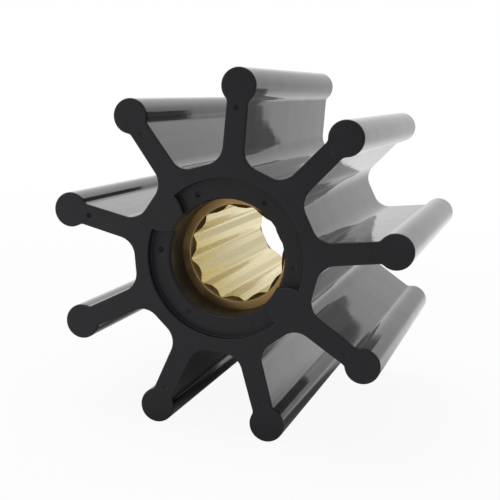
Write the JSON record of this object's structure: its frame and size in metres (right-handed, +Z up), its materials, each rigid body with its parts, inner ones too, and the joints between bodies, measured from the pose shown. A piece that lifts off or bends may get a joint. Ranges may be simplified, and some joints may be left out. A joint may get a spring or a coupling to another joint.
{
  "type": "rubber pump impeller",
  "caption": "Flexible rubber pump impeller: straight vanes with round sealing beads on a hub bonded to a bronze bushing with an internal spline.",
  "frame": {"origin": "on the shaft axis at mid length, which is also the centre of mass", "axes": "+Y along the shaft axis, from the end that faces the viewer to the far end; +Z up, along one vane, with the impeller lying on its two lowest vanes; +X to the viewer's right"},
  "size_m": [0.094, 0.0888, 0.0926],
  "materials": {
    "rubber": "moulded black rubber, dull on the end faces and glossy on the vane sides",
    "bronze": "broached bronze, satin"
  },
  "bodies": {
    "root": {"rubber_impeller": "rubber", "splined_bushing": "bronze"}
  },
  "joints": []
}
